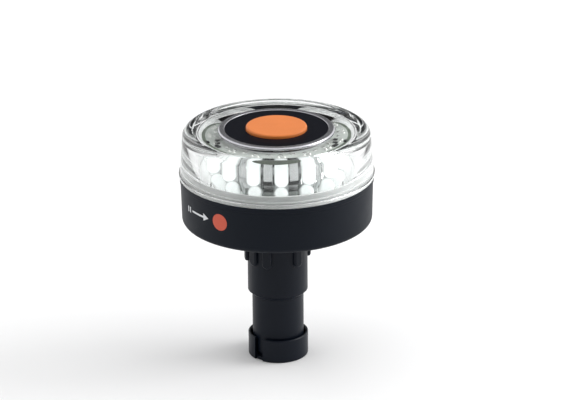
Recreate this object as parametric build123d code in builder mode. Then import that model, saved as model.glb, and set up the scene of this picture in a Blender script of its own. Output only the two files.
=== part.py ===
"""Portable all-round signal light on a twist-lock spigot, in millimetres.

The light stands on the foot of its spigot. +Z is up, and the origin is the centre of the foot.
From the ground up it is a hollow stem with a split collar, a battery casing that twists off the
stem, and a clear head that screws into the casing. The head carries the push button, and it
lifts a circuit module that slides on two guide pins without turning.
"""

from build123d import *
from math import cos, pi, radians, sin, tan
import os

# ---------------------------------------------------------------- driving dimensions
# Fits
slide_gap = 0.10        # parts that move on each other, each side
snug_gap = 0.05         # parts that stay together, each side
free_gap = 0.30         # moving parts that must never touch
edge_break = 0.3        # small bevel on moulded edges
fine_break = 0.2        # bevel on thin edges
root_overlap = 0.5      # how far a raised feature runs into what it stands on
cut_through = 1.0       # how far a through cut starts outside the material

# Stem and its split collar
stem_radius = 13.0
neck_radius = 11.15
core_radius = 8.4       # hollow of the stem, open at the foot
stem_length = 61.9      # foot to the shoulder under the casing
neck_top = 28.9
step_rise = 1.6         # height of the cone between neck and barrel
core_top = 57.5
core_bevel = 1.0        # between the hollow's wall and its end
foot_radius = 11.9
foot_height = 1.5
collar_wall = 1.0
collar_height = 10.3
collar_lip_height = 1.6
collar_lip_depth = 1.6  # how far the lip reaches in from the collar wall
collar_slot_width = 4.4
collar_slot_angle = 228.0
rib_count = 6
rib_start_angle = 10.0
key_rib_angle = 220.0
rib_width = 4.2
rib_height = 1.4
rib_bottom = 44.3
rib_edge_radius = 0.9

# Twist lock between stem and casing
plug_radius = 11.0
plug_bevel = 0.5
lug_embed = 1.0         # lug or rib root inside the round body
lug_height = 2.4
lug_reach = 2.2
lug_count = 3
lug_sweep = 40.0
lug_entry_margin = 3.0  # extra angle each side of a lug, in its entry slot and at its stop
unlock_turn = 60.0      # turn from the locked place to the entry slots
stop_sweep = 14.0
lock_washer_thickness = 1.0
lock_washer_inset = 0.2
socket_wall = 1.8
socket_roof = 1.6
socket_headroom = 0.6

# Casing
casing_radius = 41.6
casing_height = 20.6
casing_wall = 3.1       # beside the thread
rim_band_height = 2.3
rim_band_step = 0.3
casing_draft = 0.4      # the wall leans in by this much at the bottom
casing_floor = 2.5
casing_bottom_fillet = 2.0
casing_inner_fillet = 1.2
floor_rib_count = 6
floor_rib_thickness = 1.5
floor_rib_height = 2.6

# Seal between casing and head
seal_section = 1.8      # diameter of the seal ring's cord
seal_groove_depth = 1.75
seal_groove_inset = 0.7 # wall left outside the groove

# Screw thread of the head
thread_pitch = 3.0
thread_height = 0.9
thread_base_width = 1.3
thread_crest_width = 0.7
thread_root_embed = 0.3
thread_engagement_gap = 0.3
male_turns = 2.0
female_turns = 1.6
skirt_depth = 10.6      # skirt of the lens below its flange
skirt_wall = 1.6

# Lens
flange_overhang = 0.4
flange_thickness = 1.6
flange_edge_radius = 0.4
lens_height = 20.5      # flange underside to rim crest
lens_foot_inset = 0.5   # the wall stands this far inside the flange's edge
lens_draft = 1.1        # the outer wall leans in by this much at the top
lens_shoulder_radius = 3.4
rim_crest_width = 0.8
rim_step = 0.7
rim_step_run = 0.7
lens_top_thickness = 2.2
chamber_ledge = 1.0
chamber_corner_radius = 1.5

# Button group in the lens's centre
trim_ring_radius = 24.9
trim_ring_width = 2.7
trim_ring_proud = 0.9
trim_ring_thickness = 1.5
trim_ring_outer_bevel = 0.5
trim_ring_inner_bevel = 0.15
gasket_thickness = 0.2
gasket_inset = 0.2
neck_tube_radius = 19.7
neck_tube_wall = 2.2
neck_tube_depth = 3.2
neck_hole_gap = 0.2
surround_drop = 0.1     # below the trim ring's face
surround_edge_radius = 0.4
button_radius = 13.07
button_gap = 0.18
button_proud = 1.2
button_wall = 1.5
button_flange_reach = 1.2
button_flange_thickness = 0.6
button_crown_radius = 0.9
button_travel = 0.5
post_radius = 2.2
boot_web = 0.5
boot_flat_radius = 8.0
boot_nub_radius = 3.2
boot_nub_height = 0.56
boot_rim_width = 2.3
boot_rim_slope_run = 1.2
clamp_ring_height = 1.0
lock_nut_height = 1.4
lock_nut_width = 3.5
nut_notch_count = 4
nut_notch_depth = 1.0
nut_notch_width = 3.0

# Circuit module
module_gap = 0.3        # radial gap to the lens skirt
contact_board_thickness = 1.4
mirror_thickness = 2.5
mirror_fall_angle = 12.0        # its rim falls away outside the drum, to throw light outward
board_thickness = 1.6   # of the switch board
led_board_thickness = 1.2
led_board_inset = 2.2   # LED board's edge to the chamber wall
switch_board_gap = 0.3  # its edge to the drum
switch_board_drop = 0.26        # its upper face below the LED board's lower face
link_count = 4          # metal strips that join the two boards
link_thickness = 0.2
link_width = 1.6
link_foot = 1.2
led_count = 16
led_circle_inset = 5.5  # LED centres to the chamber wall
led_start_angle = -86.4
led_radius = 2.9
led_flange_radius = 3.3
led_flange_thickness = 1.0
led_length = 10.16
led_tip_gap = 0.4       # LED tip to the mirror
lead_radius = 0.25
lead_pitch = 2.54
solder_radius = 0.9
solder_height = 0.6
lead_end = 0.3          # lead above its solder
drum_inset = 1.7         # the drum's edge lies this far inside the LED centres
drum_wall = 3.3
flute_radius = 4.0
resistor_inset = 3.0     # resistors' middles to the LED centres
resistor_length = 2.1
resistor_width = 1.3
resistor_height = 0.6
pillar_circle_radius = 11.0
pillar_radius = 2.0
pillar_count = 3
screw_radius = 1.25
screw_head_radius = 2.25
screw_head_height = 1.4
screw_head_round = 0.56
board_screw_grip = 4.0  # screw length beyond the contact board
switch_screw_grip = 3.5 # screw length beyond the switch board
drive_radius = 0.7      # star recess in a screw's head, drawn as a hexagon
drive_depth = 0.8
snap_ring_thickness = 1.2
snap_ring_width = 2.4
snap_groove_depth = 0.8
snap_ring_gap = 9.0
snap_ring_drop = 0.3    # its underside lies this far below the flange

# Push switch on the board
switch_side = 6.2
switch_body_height = 3.2
switch_cover_thickness = 0.3
plunger_radius = 1.7
plunger_flange_radius = 2.3
plunger_flange_thickness = 0.5
plunger_rise = 0.8      # above the switch's cover
plunger_room = 0.4      # left under the plunger when it is pressed

# Chips on the LED board
chip_place = Location((-8.2, 4.6), 60)
chip_length = 5.0
chip_width = 4.4
chip_height = 1.1
chip_lift = 0.1
chip_bevel = 0.2
leg_rows = 4
leg_pitch = 1.2
leg_span = 5.6          # between the middles of the two rows
leg_length = 1.2
leg_width = 0.5
inductor_place = Location((8.0, 4.8), 30)
inductor_side = 5.0
inductor_corner_radius = 1.0
inductor_height = 2.0
inductor_bevel = 0.3

# Batteries, three cells side by side
cell_radius = 5.25
cell_length = 44.5      # with its positive cap
cell_cap_radius = 1.9
cell_cap_height = 1.0
cell_edge_radius = 0.5
cell_pitch = 11.1
cell_count = 3
cell_gap = 0.2          # cell to its cradle
spring_length = 4.2
spring_wire_radius = 0.3
spring_coil_radius = 2.6
spring_turns = 3
plate_thickness = 0.4
plate_width = 8.4
plate_height = 8.0
tray_floor = 1.0
tray_end_wall = 1.4
tray_side_wall = 1.2
tray_lift = 0.2         # clear of the socket's roof
tray_ear_thickness = 2.0
tray_ear_radius = 3.4
tray_boss_radius = 3.2
boss_hole_end = 0.6     # from the casing's floor to the bottom of the screw's hole
screw_end_gap = 0.6     # screw's tip to the bottom of its hole
plate_slack = 0.2       # depth of the plates' pockets beyond the plates
bay_slack = 0.3         # length of the bay beyond cell, spring and plates
guide_pin_embed = 1.6   # pin in its ear
guide_pin_bevel = 0.4
guide_pin_radius = 1.5
guide_pin_offset = 5.5  # along X from the tray's screw
guide_pin_slack = 0.15
guide_pin_spare = 0.5   # pin left above the board with the head fully up
finger_width = 4.0
finger_thickness = 0.3
finger_crown = 3.0      # from its upright to the place that touches the pad
finger_length = 5.5
finger_bow = 0.9
finger_droop = 1.1
finger_bend_radius = 0.45
pad_side = 6.0
pad_thickness = 0.1

# ---------------------------------------------------------------- levels and radii that follow
casing_bottom = stem_length + lock_washer_thickness
casing_top = casing_bottom + casing_height
socket_floor = casing_bottom + casing_floor
lug_bottom = socket_floor + slide_gap
lug_top = lug_bottom + lug_height
lug_radius = plug_radius + lug_reach
lug_angles = [i * 360 / lug_count for i in range(lug_count)]
entry_sweep = lug_sweep + 2 * lug_entry_margin
stop_angle = (lug_sweep + stop_sweep) / 2 + lug_entry_margin
plug_top = lug_top + socket_headroom / 2
socket_top = lug_top + socket_headroom
socket_radius = lug_radius + free_gap
socket_entry_radius = plug_radius + free_gap
socket_roof_top = socket_top + socket_roof

rim_bottom = casing_top - rim_band_height
wall_radius = casing_radius - rim_band_step
thread_relief_radius = wall_radius - casing_wall
female_crest_radius = thread_relief_radius - thread_height
male_root_radius = female_crest_radius - thread_engagement_gap
male_crest_radius = male_root_radius + thread_height
rim_bore_radius = male_crest_radius + free_gap
seal_groove_width = seal_section + 2 * snug_gap
seal_outer_radius = casing_radius - seal_groove_inset
seal_circle_radius = seal_outer_radius - seal_groove_width / 2

flange_bottom = casing_top + slide_gap
flange_top = flange_bottom + flange_thickness
flange_radius = casing_radius + flange_overhang
skirt_bottom = flange_bottom - skirt_depth
skirt_radius = male_root_radius
skirt_inner_radius = skirt_radius - skirt_wall
chamber_radius = skirt_inner_radius - chamber_ledge
male_start = skirt_bottom + thread_base_width / 2 + slide_gap
female_start = male_start + thread_pitch / 2
head_travel = thread_pitch * male_turns

lens_foot_radius = flange_radius - lens_foot_inset
lens_top_radius = lens_foot_radius - lens_draft
lens_crest = flange_bottom + lens_height
lens_plateau = lens_crest - rim_step
lens_underside = lens_plateau - lens_top_thickness
ring_top = lens_plateau + trim_ring_proud
ring_bottom = ring_top - trim_ring_thickness
seat_level = ring_bottom - gasket_thickness
surround_radius = trim_ring_radius - trim_ring_width - snug_gap
neck_hole_radius = neck_tube_radius + neck_hole_gap
neck_tube_bottom = ring_bottom - neck_tube_depth
neck_tube_bore = neck_tube_radius - neck_tube_wall

module_radius = skirt_inner_radius - module_gap
led_board_radius = chamber_radius - led_board_inset
led_circle_radius = chamber_radius - led_circle_inset
drum_radius = led_circle_radius - drum_inset
drum_inner_radius = drum_radius - drum_wall
resistor_circle_radius = led_circle_radius - resistor_inset
snap_ring_bottom = flange_bottom - snap_ring_drop
snap_ring_top = snap_ring_bottom + snap_ring_thickness
contact_board_bottom = snap_ring_top + slide_gap
mirror_bottom = contact_board_bottom + contact_board_thickness
mirror_top = mirror_bottom + mirror_thickness
mirror_fall = tan(radians(mirror_fall_angle))
mirror_rim_level = mirror_top - (module_radius - drum_radius) * mirror_fall
ledge_level = mirror_top - (chamber_radius - drum_radius) * mirror_fall + slide_gap
led_tip = mirror_top - (led_circle_radius - drum_radius) * mirror_fall + led_tip_gap
led_board_bottom = led_tip + led_length
led_board_top = led_board_bottom + led_board_thickness
led_board_inner_radius = drum_inner_radius
switch_board_radius = drum_inner_radius - switch_board_gap
switch_board_top = led_board_bottom - switch_board_drop
switch_board_bottom = switch_board_top - board_thickness
switch_top = switch_board_top + switch_body_height + switch_cover_thickness
plunger_top = switch_top + plunger_rise
boot_nub_bottom = plunger_top + snug_gap / 2
boot_nub_top = boot_nub_bottom + boot_nub_height
post_bottom = boot_nub_top + snug_gap / 2
button_top = ring_top + button_proud
button_ceiling = button_top - button_wall
button_flange_top = ring_bottom - snug_gap
button_flange_bottom = button_flange_top - button_flange_thickness
button_flange_radius = button_radius + button_flange_reach

tray_bottom = socket_roof_top + tray_lift
cell_axis = tray_bottom + tray_floor + cell_gap + cell_radius
bay_half_length = (cell_length + spring_length + 2 * plate_thickness + bay_slack) / 2
tray_half_length = bay_half_length + tray_end_wall
tray_half_width = (cell_count - 1) / 2 * cell_pitch + cell_radius + cell_gap + tray_side_wall
tray_ear_y = tray_half_width + tray_ear_radius
tray_wall_top = cell_axis + cell_radius - free_gap
cell_lanes = [(i - (cell_count - 1) / 2) * cell_pitch for i in range(cell_count)]
cell_ways = [1 if i % 2 == 0 else -1 for i in range(cell_count)]
guide_pin_places = [(guide_pin_offset, tray_ear_y), (-guide_pin_offset, -tray_ear_y)]
guide_pin_bottom = tray_bottom + tray_ear_thickness - guide_pin_embed
guide_pin_top = mirror_top + head_travel + guide_pin_spare
pillar_angles = [90 + i * 360 / pillar_count for i in range(pillar_count)]
pillar_places = [
    (pillar_circle_radius * cos(radians(a)), pillar_circle_radius * sin(radians(a))) for a in pillar_angles
]
led_angles = [led_start_angle + i * 360 / led_count for i in range(led_count)]

os.makedirs("parts", exist_ok=True)


def keep(piece, name):
    """Labels a finished piece and writes it to its own file."""
    piece.part.label = name
    export_step(piece.part, f"parts/{name}.step")


def sector(inner, outer, middle_angle, sweep):
    """Corners of a ring sector's flat outline, with its curved sides as points two degrees apart."""
    steps = max(2, round(sweep / 2))
    angles = [radians(middle_angle - sweep / 2 + sweep * i / steps) for i in range(steps + 1)]
    far = [(outer * cos(a), outer * sin(a)) for a in angles]
    near = [(inner * cos(a), inner * sin(a)) for a in reversed(angles)]
    return far + near


def thread_plane(start, radius):
    """The plane across a thread's start, X outward and Y up, for its section."""
    return Plane(origin=(radius, 0, start), x_dir=(1, 0, 0), z_dir=(0, -1, 0))


# ---------------------------------------------------------------- stem
with BuildPart() as grip_rib:
    with BuildSketch(Plane(origin=(stem_radius - lug_embed, 0, 0), x_dir=(0, 1, 0), z_dir=(1, 0, 0))):
        with Locations((0, rib_bottom + rib_width / 2)):
            Circle(rib_width / 2)
            Rectangle(rib_width, stem_length - rib_bottom - rib_width / 2, align=(Align.CENTER, Align.MIN))
    extrude(amount=lug_embed + rib_height)
    outer_edges = grip_rib.faces().sort_by(Axis.X)[-1].edges().sort_by(Axis.Z)[:-1]
    fillet(outer_edges, radius=rib_edge_radius)

with BuildPart() as mount_stem:
    with BuildSketch(Plane.XZ):
        with BuildLine():
            Polyline(
                (core_radius, 0),
                (foot_radius, 0),
                (foot_radius, foot_height),
                (foot_radius - collar_lip_depth, foot_height),
                (foot_radius - collar_lip_depth, foot_height + collar_lip_height + 2 * snug_gap),
                (neck_radius, foot_height + collar_lip_height + 2 * snug_gap),
                (neck_radius, neck_top),
                (stem_radius, neck_top + step_rise),
                (stem_radius, stem_length),
                (plug_radius, stem_length),
                (plug_radius, plug_top - plug_bevel),
                (plug_radius - plug_bevel, plug_top),
                (core_radius, plug_top),
                (core_radius, stem_length),
                (0, stem_length),
                (0, core_top),
                (core_radius - core_bevel, core_top),
                (core_radius, core_top - core_bevel),
                close=True,
            )
        make_face()
    revolve(axis=Axis.Z)
    with PolarLocations(0, rib_count, start_angle=rib_start_angle):
        add(grip_rib.part)
    with PolarLocations(0, 1, start_angle=key_rib_angle):
        add(grip_rib.part)
    with BuildSketch(Plane.XY.offset(lug_bottom)):
        for angle in lug_angles:
            with BuildLine():
                Polyline(*sector(plug_radius - lug_embed, lug_radius, angle, lug_sweep), close=True)
            make_face()
    extrude(amount=lug_height)
keep(mount_stem, "mount_stem")

with BuildPart() as spigot_collar:
    with BuildSketch(Plane.XZ):
        with BuildLine():
            lip_bottom = foot_height + snug_gap
            lip_top = lip_bottom + collar_lip_height
            collar_bore = stem_radius - collar_wall
            lip_bore = foot_radius - collar_lip_depth + snug_gap
            Polyline(
                (collar_bore, 0),
                (stem_radius - edge_break, 0),
                (stem_radius, edge_break),
                (stem_radius, collar_height - edge_break),
                (stem_radius - edge_break, collar_height),
                (collar_bore + fine_break, collar_height),
                (collar_bore, collar_height - fine_break),
                (collar_bore, lip_top),
                (lip_bore, lip_top),
                (lip_bore, lip_bottom),
                (collar_bore, lip_bottom),
                close=True,
            )
        make_face()
    revolve(axis=Axis.Z)
    with BuildSketch(Plane.XY) as slot_cut:
        with PolarLocations(0, 1, start_angle=collar_slot_angle):
            Rectangle(2 * stem_radius, collar_slot_width, align=(Align.MIN, Align.CENTER))
    extrude(amount=collar_height, mode=Mode.SUBTRACT)
keep(spigot_collar, "spigot_collar")

with BuildPart() as lock_washer:
    with BuildSketch(Plane.XY.offset(stem_length)):
        Circle(stem_radius - lock_washer_inset)
        Circle(plug_radius + snug_gap, mode=Mode.SUBTRACT)
    extrude(amount=lock_washer_thickness - snug_gap)
keep(lock_washer, "lock_washer")

# ---------------------------------------------------------------- casing
with BuildPart() as battery_casing:
    with BuildSketch(Plane.XZ):
        with BuildLine():
            bottom_radius = wall_radius - casing_draft
            Polyline(
                (0, casing_bottom),
                (bottom_radius, casing_bottom),
                (wall_radius, rim_bottom),
                (casing_radius, rim_bottom + rim_band_step),
                (casing_radius, casing_top),
                (rim_bore_radius, casing_top),
                (rim_bore_radius, rim_bottom),
                (thread_relief_radius, rim_bottom - fine_break),
                (thread_relief_radius, socket_floor),
                (0, socket_floor),
                close=True,
            )
        make_face()
    revolve(axis=Axis.Z)
    round_edges = battery_casing.edges().filter_by(GeomType.CIRCLE)
    fillet([e for e in round_edges if abs(e.radius - bottom_radius) < 0.01], radius=casing_bottom_fillet)
    floor_edges = battery_casing.edges().filter_by(GeomType.CIRCLE).filter_by_position(
        Axis.Z, socket_floor - 0.01, socket_floor + 0.01
    )
    fillet(floor_edges, radius=casing_inner_fillet)
    # socket for the stem's plug
    with BuildSketch(Plane.XY.offset(socket_floor - root_overlap)):
        Circle(socket_radius + socket_wall)
    extrude(amount=socket_roof_top - socket_floor + root_overlap)
    with BuildSketch(Plane.XY.offset(socket_floor)):
        Circle(socket_radius)
        for angle in lug_angles:
            stop_outline = sector(socket_entry_radius, socket_radius + cut_through, angle + stop_angle, stop_sweep)
            with BuildLine():
                Polyline(*stop_outline, close=True)
            make_face(mode=Mode.SUBTRACT)
    extrude(amount=socket_top - socket_floor, mode=Mode.SUBTRACT)
    with BuildSketch(Plane.XY.offset(casing_bottom - cut_through)):
        Circle(socket_entry_radius)
        for angle in lug_angles:
            slot_outline = sector(plug_radius - cut_through, socket_radius, angle - unlock_turn, entry_sweep)
            with BuildLine():
                Polyline(*slot_outline, close=True)
            make_face()
    extrude(amount=casing_floor + cut_through + 0.01, mode=Mode.SUBTRACT)
    # screw bosses for the tray, and stiffening ribs on the floor
    with BuildSketch(Plane.XY.offset(socket_floor - root_overlap)):
        with Locations((0, tray_ear_y), (0, -tray_ear_y)):
            Circle(tray_boss_radius)
    extrude(amount=tray_bottom - snug_gap - socket_floor + root_overlap)
    with BuildSketch(Plane.XY.offset(socket_floor - root_overlap)):
        with PolarLocations(0, floor_rib_count):
            with Locations((socket_radius + socket_wall / 2, 0)):
                Rectangle(
                    thread_relief_radius - socket_radius - socket_wall / 2 + root_overlap,
                    floor_rib_thickness,
                    align=(Align.MIN, Align.CENTER),
                )
    extrude(amount=floor_rib_height + root_overlap)
    with BuildSketch(Plane.XY.offset(tray_bottom)):
        with Locations((0, tray_ear_y), (0, -tray_ear_y)):
            Circle(screw_radius + snug_gap / 2)
    extrude(amount=-(tray_bottom - socket_floor - boss_hole_end), mode=Mode.SUBTRACT)
    # groove for the seal ring in the rim
    with BuildSketch(Plane.XY.offset(casing_top - seal_groove_depth)):
        Circle(seal_outer_radius)
        Circle(seal_outer_radius - seal_groove_width, mode=Mode.SUBTRACT)
    extrude(amount=seal_groove_depth, mode=Mode.SUBTRACT)
    # female thread
    with BuildLine() as female_path:
        Helix(
            pitch=thread_pitch,
            height=thread_pitch * female_turns,
            radius=thread_relief_radius,
            center=(0, 0, female_start),
        )
    with BuildSketch(thread_plane(female_start, thread_relief_radius)):
        with BuildLine():
            Polyline(
                (thread_root_embed, -thread_base_width / 2),
                (0, -thread_base_width / 2),
                (-thread_height, -thread_crest_width / 2),
                (-thread_height, thread_crest_width / 2),
                (0, thread_base_width / 2),
                (thread_root_embed, thread_base_width / 2),
                close=True,
            )
        make_face()
    sweep(path=female_path.wire(), is_frenet=True)
keep(battery_casing, "battery_casing")

with BuildPart() as seal_ring:
    seal_level = casing_top - seal_groove_depth + seal_section / 2 + snug_gap / 2
    with BuildSketch(Plane.XZ):
        with Locations((seal_circle_radius, seal_level)):
            Circle(seal_section / 2)
    revolve(axis=Axis.Z)
keep(seal_ring, "seal_ring")

# ---------------------------------------------------------------- battery tray and its fittings
with BuildPart() as battery_tray:
    with BuildSketch(Plane.XY.offset(tray_bottom)):
        Rectangle(2 * tray_half_length, 2 * tray_half_width)
    extrude(amount=cell_axis - tray_bottom)
    with BuildSketch(Plane.XY.offset(cell_axis)):
        with Locations((tray_half_length - tray_end_wall / 2, 0), (-tray_half_length + tray_end_wall / 2, 0)):
            Rectangle(tray_end_wall, 2 * tray_half_width)
    extrude(amount=tray_wall_top - cell_axis)
    with BuildSketch(Plane.YZ.offset(-bay_half_length)):
        for lane in cell_lanes:
            with Locations((lane, cell_axis)):
                Circle(cell_radius + cell_gap)
    extrude(amount=2 * bay_half_length, mode=Mode.SUBTRACT)
    # pockets for the contact plates at both ends
    for side in (1, -1):
        with BuildSketch(Plane.YZ.offset(side * bay_half_length)):
            with Locations((0, cell_axis - plate_height / 2 - snug_gap)):
                Rectangle(
                    (cell_count - 1) * cell_pitch + plate_width + 2 * snug_gap,
                    plate_height + tray_wall_top,
                    align=(Align.CENTER, Align.MIN),
                )
        extrude(amount=-side * (plate_thickness + plate_slack), mode=Mode.SUBTRACT)
    # ears for the screws and the guide pins
    with BuildSketch(Plane.XY.offset(tray_bottom)):
        for side in (1, -1):
            with Locations((0, side * tray_ear_y), (side * guide_pin_offset, side * tray_ear_y)):
                Circle(tray_ear_radius)
            with Locations((side * guide_pin_offset / 2, side * (tray_half_width - root_overlap))):
                Rectangle(
                    guide_pin_offset + 2 * tray_ear_radius,
                    tray_ear_radius + root_overlap,
                    align=(Align.CENTER, Align.MIN if side > 0 else Align.MAX),
                )
            with Locations((side * guide_pin_offset / 2, side * tray_ear_y)):
                Rectangle(guide_pin_offset, 2 * tray_ear_radius)
    extrude(amount=tray_ear_thickness)
    with BuildSketch(Plane.XY.offset(tray_bottom - cut_through)):
        with Locations((0, tray_ear_y), (0, -tray_ear_y)):
            Circle(screw_radius + slide_gap)
    extrude(amount=tray_ear_thickness + 2 * cut_through, mode=Mode.SUBTRACT)
    with BuildSketch(Plane.XY.offset(guide_pin_bottom)):
        with Locations(*guide_pin_places):
            Circle(guide_pin_radius + snug_gap / 2)
    extrude(amount=tray_ear_thickness, mode=Mode.SUBTRACT)
keep(battery_tray, "battery_tray")


def screw(head_level, length, place, up):
    """A pan-head screw with a hexagon recess, seated at head_level, facing up (1) or down (-1)."""
    head_plane = Plane(origin=(place[0], place[1], head_level), x_dir=(1, 0, 0), z_dir=(0, 0, up))
    with BuildPart(mode=Mode.PRIVATE) as made:
        with BuildSketch(head_plane):
            Circle(screw_head_radius)
        extrude(amount=screw_head_height)
        fillet(made.faces().sort_by(Axis.Z)[-1 if up > 0 else 0].edges(), radius=screw_head_round)
        with BuildSketch(head_plane.offset(screw_head_height)):
            RegularPolygon(drive_radius, 6)
        extrude(amount=-drive_depth, mode=Mode.SUBTRACT)
        with BuildSketch(head_plane):
            Circle(screw_radius)
        extrude(amount=-length)
    return made.part


with BuildPart() as tray_screws:
    tray_screw_length = tray_bottom - socket_floor + tray_ear_thickness - boss_hole_end - screw_end_gap
    for y in (tray_ear_y, -tray_ear_y):
        add(screw(tray_bottom + tray_ear_thickness, tray_screw_length, (0, y), 1))
keep(tray_screws, "tray_screws")

with BuildPart() as guide_pins:
    with BuildSketch(Plane.XY.offset(guide_pin_bottom)):
        with Locations(*guide_pin_places):
            Circle(guide_pin_radius)
    extrude(amount=guide_pin_top - guide_pin_bottom)
    chamfer(guide_pins.edges().group_by(Axis.Z)[-1], length=guide_pin_bevel)
keep(guide_pins, "guide_pins")

cap_end = bay_half_length - plate_thickness - bay_slack / 2
for i, (lane, way) in enumerate(zip(cell_lanes, cell_ways)):
    with BuildPart() as cell:
        shoulder = (way * (cap_end - cell_cap_height), lane, cell_axis)
        with BuildSketch(Plane(origin=shoulder, z_dir=(-way, 0, 0))):
            Circle(cell_radius)
        extrude(amount=cell_length - cell_cap_height)
        fillet(cell.edges().filter_by(GeomType.CIRCLE), radius=cell_edge_radius)
        with BuildSketch(Plane(origin=shoulder, z_dir=(way, 0, 0))):
            Circle(cell_cap_radius)
        extrude(amount=cell_cap_height)
    keep(cell, f"battery_cell_{i + 1}")

with BuildPart() as battery_springs:
    spring_wall = bay_half_length - plate_thickness - snug_gap
    spring_free = spring_wall + cap_end - cell_length - 2 * spring_wire_radius - 2 * snug_gap
    spring_pitch = spring_free / spring_turns
    for lane, way in zip(cell_lanes, cell_ways):
        start = Vector(-way * (spring_wall - spring_wire_radius), lane, cell_axis)
        with BuildLine() as coil:
            Helix(
                pitch=spring_pitch,
                height=spring_free,
                radius=spring_coil_radius,
                center=start,
                direction=(way, 0, 0),
            )
        with BuildSketch(Plane(origin=coil.line @ 0, z_dir=coil.line % 0)):
            Circle(spring_wire_radius)
        sweep(path=coil.wire(), is_frenet=True)
keep(battery_springs, "battery_springs")

with BuildPart() as contact_plates:
    for side in (1, -1):
        pair = cell_lanes[:2] if side > 0 else cell_lanes[-2:]
        single = cell_lanes[-1] if side > 0 else cell_lanes[0]
        with BuildSketch(Plane.YZ.offset(side * bay_half_length)):
            with Locations((sum(pair) / 2, cell_axis)):
                Rectangle(cell_pitch + plate_width, plate_height)
            with Locations((single, cell_axis)):
                Rectangle(plate_width, plate_height)
        extrude(amount=-side * plate_thickness)
keep(contact_plates, "contact_plates")

with BuildPart() as supply_fingers:
    finger_foot = cell_axis + plate_height / 2 + finger_thickness / 2
    finger_top = contact_board_bottom - pad_thickness - snug_gap
    for side, lane in ((1, cell_lanes[-1]), (-1, cell_lanes[0])):
        finger_x = bay_half_length - finger_thickness / 2
        with BuildSketch(Plane.XZ.offset(-lane - finger_width / 2)):
            with BuildLine():
                FilletPolyline(
                    (side * finger_x, finger_foot),
                    (side * finger_x, finger_top - finger_bow),
                    (side * (finger_x - finger_crown), finger_top - finger_thickness / 2),
                    (side * (finger_x - finger_length), finger_top - finger_droop),
                    radius=finger_bend_radius,
                )
                offset(amount=finger_thickness / 2, side=Side.BOTH)
            make_face()
        extrude(amount=finger_width)
keep(supply_fingers, "supply_fingers")

# ---------------------------------------------------------------- circuit module
with BuildPart() as contact_board:
    with BuildSketch(Plane.XY.offset(contact_board_bottom)):
        Circle(module_radius)
        with Locations(*pillar_places):
            Circle(screw_radius + slide_gap, mode=Mode.SUBTRACT)
        with Locations(*guide_pin_places):
            Circle(guide_pin_radius + guide_pin_slack, mode=Mode.SUBTRACT)
    extrude(amount=contact_board_thickness)
keep(contact_board, "contact_board")

with BuildPart() as contact_pads:
    with BuildSketch(Plane.XY.offset(contact_board_bottom - pad_thickness)):
        pad_x = bay_half_length - finger_crown
        with Locations((pad_x, cell_lanes[-1]), (-pad_x, cell_lanes[0])):
            Rectangle(pad_side, pad_side)
    extrude(amount=pad_thickness)
keep(contact_pads, "contact_pads")

with BuildPart() as floor_mirror:
    with BuildSketch(Plane.XZ):
        with BuildLine():
            Polyline(
                (0, mirror_bottom),
                (module_radius, mirror_bottom),
                (module_radius, mirror_rim_level),
                (drum_radius, mirror_top),
                (0, mirror_top),
                close=True,
            )
        make_face()
    revolve(axis=Axis.Z)
    with BuildSketch(Plane.XY.offset(mirror_bottom)):
        with Locations(*pillar_places):
            Circle(pillar_radius + slide_gap)
        with Locations(*guide_pin_places):
            Circle(guide_pin_radius + guide_pin_slack)
    extrude(amount=mirror_thickness, mode=Mode.SUBTRACT)
keep(floor_mirror, "floor_mirror")

with BuildPart() as reflector_drum:
    with BuildSketch(Plane.XY.offset(mirror_top)):
        Circle(drum_radius)
        Circle(drum_inner_radius, mode=Mode.SUBTRACT)
        with PolarLocations(led_circle_radius, led_count, start_angle=led_start_angle):
            Circle(flute_radius, mode=Mode.SUBTRACT)
    extrude(amount=led_board_bottom - mirror_top)
keep(reflector_drum, "reflector_drum")

with BuildPart() as board_pillars:
    with BuildSketch(Plane.XY.offset(mirror_bottom)):
        with Locations(*pillar_places):
            RegularPolygon(pillar_radius, 6)
    extrude(amount=switch_board_bottom - mirror_bottom)
    with Locations(*[Location((x, y, mirror_bottom)) for x, y in pillar_places]):
        Cylinder(
            screw_radius + snug_gap / 2,
            switch_board_bottom - mirror_bottom,
            align=(Align.CENTER, Align.CENTER, Align.MIN),
            mode=Mode.SUBTRACT,
        )
keep(board_pillars, "board_pillars")

with BuildPart() as lower_board_screws:
    for place in pillar_places:
        add(screw(contact_board_bottom, contact_board_thickness + board_screw_grip, place, -1))
keep(lower_board_screws, "lower_board_screws")

with BuildPart() as upper_board_screws:
    for place in pillar_places:
        add(screw(switch_board_top, board_thickness + switch_screw_grip, place, 1))
keep(upper_board_screws, "upper_board_screws")


def lead_places():
    """Where the two leads of each LED stand, side by side along the circle."""
    found = []
    for a in led_angles:
        for side in (1, -1):
            x = led_circle_radius * cos(radians(a)) - side * lead_pitch / 2 * sin(radians(a))
            y = led_circle_radius * sin(radians(a)) + side * lead_pitch / 2 * cos(radians(a))
            found.append((x, y))
    return found


with BuildPart() as led_board:
    with BuildSketch(Plane.XY.offset(led_board_bottom)):
        Circle(led_board_radius)
        Circle(led_board_inner_radius, mode=Mode.SUBTRACT)
        with Locations(*lead_places()):
            Circle(lead_radius + slide_gap, mode=Mode.SUBTRACT)
    extrude(amount=led_board_thickness)
keep(led_board, "led_board")

with BuildPart() as switch_board:
    with BuildSketch(Plane.XY.offset(switch_board_bottom)):
        Circle(switch_board_radius)
        with Locations(*pillar_places):
            Circle(screw_radius + slide_gap, mode=Mode.SUBTRACT)
    extrude(amount=board_thickness)
keep(switch_board, "switch_board")

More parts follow.
